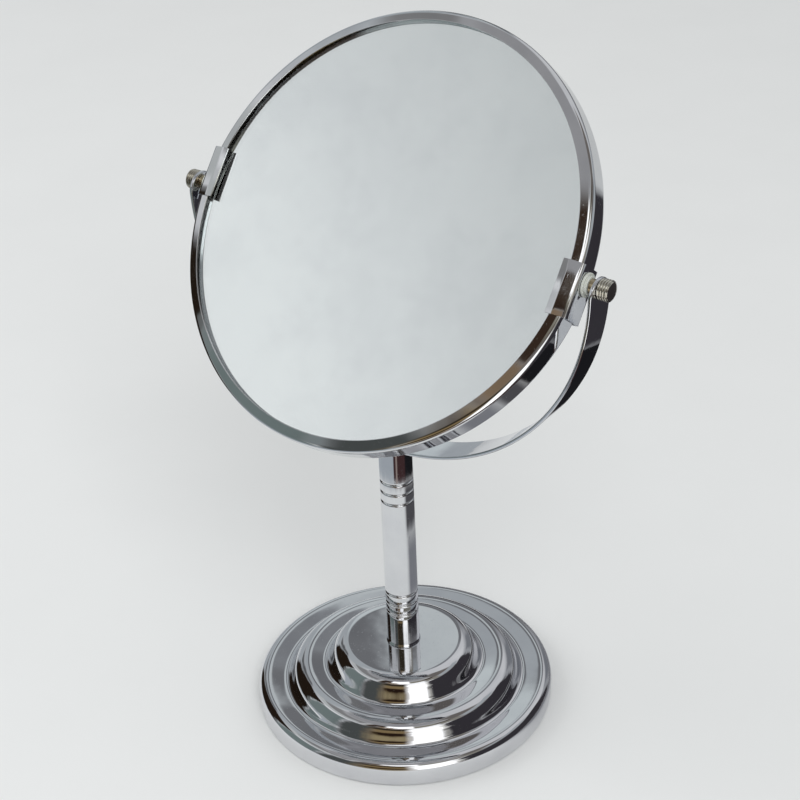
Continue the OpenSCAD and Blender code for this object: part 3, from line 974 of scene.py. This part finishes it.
def ring_mesh(name, lines, rounds=96):
    """A band of faces between two circles round Z, each given by its radius and height."""
    angles = [2 * math.pi * i / rounds for i in range(rounds)]
    verts = [(r * math.cos(a), r * math.sin(a), height) for r, height in lines for a in angles]
    faces = [(rounds + i, rounds + (i + 1) % rounds, (i + 1) % rounds, i) for i in range(rounds)]
    return stage_mesh(name, verts, faces)


def pale_floor():
    material, w, where = new_finish("pale_floor")
    tone = w.noise(where, 14.0, 4.0)
    return finished(material, w, {
        "Base Color": w.blend(tone, (0.80, 0.81, 0.81, 1), (0.83, 0.84, 0.84, 1)),
        "Roughness": 0.9,
        "Specular IOR Level": 0.1})


floor_half = 8
floor_corners = [(-floor_half, -floor_half, 0), (floor_half, -floor_half, 0),
                 (floor_half, floor_half, 0), (-floor_half, floor_half, 0)]
staged("floor", stage_mesh("floor", floor_corners, [(0, 1, 2, 3)]), pale_floor())


def patched(w, turn, along, base, rows):
    """Lays soft-edged patches of colour over a base, by the turn and by how far along."""
    share, colour = 0.0, base
    for name, a0, a1, b0, b1, soft_a, soft_b, tint in rows:
        middle, half, soft_a = (math.radians(d) / 2 for d in (a0 + a1, a1 - a0, soft_a))
        soft_b /= 2
        off_middle = w.maths("WRAP", w.minus(turn, middle), math.pi, -math.pi)
        outside = w.ease(w.maths("ABSOLUTE", off_middle), half - soft_a, half + soft_a)
        here = w.times(w.minus(1.0, outside), w.ease(along, b0 - soft_b, b0 + soft_b))
        here = w.times(here, w.minus(1.0, w.ease(along, b1 - soft_b, b1 + soft_b)))
        colour = w.blend(here, colour, (*tint, 1))
        colour.node.label = name
        share = w.maths("MAXIMUM", share, here)
    return share, colour


def painted_reflection_finish(name, measure, sway, rows, whole=False):
    """Painted reflection: a glowing card for the polished pieces, whole or clear outside its patches;
    their edges sway.
    """
    material = bpy.data.materials.new(name)
    material.use_nodes = True
    material.node_tree.nodes.clear()
    w = Wiring(material.node_tree)
    where = w.add("ShaderNodeTexCoord").outputs["Object"]
    to_camera = math.atan2(-math.cos(camera_turn), math.sin(camera_turn))
    faced = w.add("ShaderNodeVectorRotate", {"Vector": where, "Angle": -to_camera},
                  rotation_type="Z_AXIS")
    x, y, z = w.add("ShaderNodeSeparateXYZ", {"Vector": faced.outputs[0]}).outputs
    grain, turn_sway, along_sway = sway
    turn_sway = math.radians(turn_sway)
    wisps = w.add("ShaderNodeTexNoise", {"Vector": where, "Scale": grain, "Detail": 3.0})
    parted = w.add("ShaderNodeSeparateColor", {"Color": wisps.outputs["Color"]}).outputs
    turn = w.plus(w.maths("ARCTAN2", y, x), w.spread(parted["Red"], -turn_sway, turn_sway))
    away = w.maths("SQRT", w.plus(w.times(x, x), w.times(y, y)))
    along = w.plus(measure(w, away, z), w.spread(parted["Green"], -along_sway, along_sway))
    clouds = w.ease(w.noise(where, 1.3, 4.0), 0.35, 0.65)
    share, colour = patched(w, turn, along, w.blend(clouds, *pale_walls), rows)
    light = w.add("ShaderNodeEmission", {"Color": colour, "Strength": 1.0}).outputs[0]
    if not whole:
        mix = w.add("ShaderNodeMixShader", {"Fac": share})
        w.tree.links.new(w.add("ShaderNodeBsdfTransparent").outputs[0], mix.inputs[1])
        w.tree.links.new(light, mix.inputs[2])
        light = mix.outputs[0]
    w.tree.links.new(light, w.add("ShaderNodeOutputMaterial").inputs[0])
    return material


# Painted reflections: what the polished pieces see round the stage, on three layers of glowing cards.
# Each row: a name, the turn from the camera's side to the viewer's right in degrees from and to, how
# far along from and to, the softness of the edges both ways, and the colour.
pale_walls = (0.68, 0.69, 0.705, 1), (0.63, 0.638, 0.655, 1)
# Far off, by the height in degrees.
far_rows = [
    ("back_wall", 166, 234, -20, 58, 8, 10, (0.41, 0.44, 0.46)),
    ("back_right", 112, 167, -20, 31, 14, 12, (0.30, 0.31, 0.33)),
    ("back_corner", 163, 180, 17, 41, 5, 8, (0.18, 0.185, 0.195)),
    ("back_nook", 164, 173, 40, 54, 4, 4, (0.24, 0.25, 0.265)),
    ("back_panel", 173, 181, 33, 54, 2, 3, (0.56, 0.60, 0.61)),
    ("panel_shade", 181, 187, 34, 48, 2, 5, (0.175, 0.18, 0.19)),
    ("back_glow", 181, 193, 14, 34, 3, 5, (0.60, 0.65, 0.66)),
    ("back_foot", 136, 182, -20, 14, 10, 8, (0.06, 0.055, 0.06)),
    ("pale_low", -104, -62, 28, 40.6, 10, 4, (0.56, 0.57, 0.58)),
    ("pale_high", -104, -62, 42.8, 48, 10, 3, (0.80, 0.81, 0.82)),
    ("left_high", -134, -56, 49, 62, 10, 5, (0.25, 0.25, 0.25)),
    ("ceiling", -190, 62, 62, 84, 20, 6, (0.34, 0.34, 0.35)),
    ("front_wall", -50, 66, -20, 60, 12, 8, (0.25, 0.235, 0.19)),
    ("far_left", -126, -92, -20, 15, 8, 2, (0.025, 0.017, 0.013)),
    ("left_wall", -92, -62, -20, 15, 8, 6, (0.20, 0.24, 0.245)),
    ("door_foot", -64, -46, -20, 21, 8, 6, (0.055, 0.040, 0.030)),
    ("doorway", -48, -29, -20, 63, 6, 5, (0.042, 0.026, 0.018)),
    ("door_side", -32, -14, -20, 36, 8, 8, (0.014, 0.009, 0.009)),
    ("hall", -14, 18, -20, 28, 8, 8, (0.12, 0.10, 0.09)),
    ("right_wall", 58, 104, 36, 72, 12, 8, (0.17, 0.155, 0.145)),
    ("far_right", 56, 90, -20, 38, 8, 8, (0.030, 0.022, 0.021)),
    ("lintel", 37, 58, 51, 58, 6, 3, (0.035, 0.022, 0.017)),
    ("ceiling_light", -28, 8, 45, 63, 4, 4, (1.6, 1.6, 1.6)),
    ("high_window", -8, 50, 36, 50, 6, 4, (1.3, 1.3, 1.3)),
    ("side_window", 20, 50, 17, 38, 8, 6, (1.0, 0.98, 0.90)),
]
# On a low screen close by, by the height in metres.
screen_rows = [
    ("left_back", 210, 224, 0.12, 0.275, 10, 0.030, (0.11, 0.115, 0.12)),
    ("left_side", -136, -98, 0, 0.262, 6, 0.020, (0.018, 0.012, 0.008)),
    ("left_top", -132, -58, 0.282, 0.36, 8, 0.030, (0.50, 0.52, 0.52)),
    ("left_front", -98, -62, 0, 0.240, 8, 0.040, (0.18, 0.22, 0.215)),
    ("near_left", -62, -30, 0, 0.255, 14, 0.040, (0.078, 0.085, 0.083)),
    ("gold_cloth", -34, 3, 0.03, 0.300, 16, 0.040, (0.25, 0.18, 0.09)),
    ("cloth_foot", -34, 3, 0, 0.050, 16, 0.020, (0.32, 0.26, 0.15)),
    ("cloth_top", -34, -12, 0.300, 0.36, 10, 0.020, (0.24, 0.17, 0.11)),
    ("stand_shade", -30, 0, 0.050, 0.110, 12, 0.030, (0.022, 0.012, 0.008)),
    # a dark band across the gold in the painted reflection
    ("cloth_dark_band", -36, 3, 0.190, 0.275, 12, 0.030, (0.040, 0.032, 0.022)),
    # painted highlight: a patch brighter than white that puts a window's glare into the chrome
    ("window_highlight", 1, 32, 0, 0.240, 9, 0.040, (1.7, 1.7, 1.68)),
    ("right_side", 34, 118, 0, 0.240, 8, 0.030, (0.040, 0.037, 0.043)),
    ("right_top", 34, 62, 0.250, 0.36, 8, 0.030, (0.27, 0.255, 0.22)),
    ("right_high", 62, 112, 0.250, 0.36, 8, 0.030, (0.40, 0.43, 0.45)),
    ("right_back", 120, 148, 0, 0.160, 14, 0.060, (0.20, 0.21, 0.23)),
]
# On the table, by the distance from the stem in metres; shade and deep_shade are a painted shadow on
# it.
table_rows = [
    ("shade", 54, 172, 0.066, 0.135, 34, 0.040, (0.22, 0.225, 0.245)),
    ("deep_shade", 50, 168, 0.130, 0.185, 24, 0.030, (0.085, 0.083, 0.09)),
    ("far_table", -190, 0, 0.176, 0.40, 20, 0.030, (0.41, 0.445, 0.48)),
    ("dark_edge", -18, 150, 0.180, 0.40, 8, 0.016, (0.055, 0.028, 0.029)),
    ("edge_glint", -3, 8, 0.178, 0.40, 5, 0.012, (0.30, 0.24, 0.22)),
    ("edge_foot", 62, 150, 0.180, 0.40, 12, 0.020, (0.012, 0.012, 0.014)),
]

# How the patches' edges sway: the grain of it, then how far in turn (degrees) and along.
far_sway = 2.2, 0.8, 1.0
screen_sway = 26.0, 6.0, 0.012
table_sway = 18.0, 5.0, 0.006


def by_height_angle(w, away, height):
    return w.maths("DEGREES", w.maths("ARCTAN2", height, away))


def by_height(w, away, height):
    return height


def by_distance(w, away, height):
    return away


def painted_reflection_card(name, mesh, finish):
    """A glowing card that only the polished pieces see: it paints reflections into them."""
    thing = staged(name, mesh, finish)
    thing.visible_camera = False
    thing.visible_diffuse = False
    thing.visible_shadow = False


# Painted reflections: a dome, a low screen and a table disc that glow and that only the polished pieces
# see.
room_r = 3.0
screen_r, screen_top = 0.28, 0.36
table_from, table_to, table_lift = 0.066, 0.40, 0.0005

room_mesh = bpy.data.meshes.new("room")
dome = bmesh.new()
bmesh.ops.create_uvsphere(dome, u_segments=48, v_segments=24, radius=room_r)
dome.to_mesh(room_mesh)
dome.free()
painted_reflection_card("room", room_mesh, painted_reflection_finish("room", by_height_angle, far_sway, far_rows, whole=True))
painted_reflection_card("screen", ring_mesh("screen", [(screen_r, 0), (screen_r, screen_top)]),
            painted_reflection_finish("screen", by_height, screen_sway, screen_rows))
painted_reflection_card("table_reflection", ring_mesh("table_reflection", [(table_from, table_lift), (table_to, table_lift)]),
            painted_reflection_finish("table_reflection", by_distance, table_sway, table_rows))


def softbox(name, place, aim, size, power):
    """A square lamp that faces its aim, and that polished pieces and glass don't show."""
    data = bpy.data.lights.new(name, "AREA")
    data.size = size
    data.energy = power
    lamp = placed(name, data)
    lamp.location = place
    lamp.rotation_euler = (Vector(aim) - Vector(place)).to_track_quat("-Z", "Y").to_euler()
    lamp.visible_glossy = False
    lamp.visible_transmission = False


softbox("key", (1.1, -1.0, 1.5), (0, 0, 0.1), 1.0, 14)
softbox("fill", (-1.5, -0.6, 1.2), (0, 0, 0.15), 1.4, 8)

world = bpy.data.worlds.new("studio")
world.use_nodes = True
bpy.context.scene.world = world
backdrop = world.node_tree.nodes["Background"]
backdrop.inputs["Color"].default_value = (0.88, 0.89, 0.89, 1)
backdrop.inputs["Strength"].default_value = 0.75
bpy.context.scene.view_settings.view_transform = "Standard"
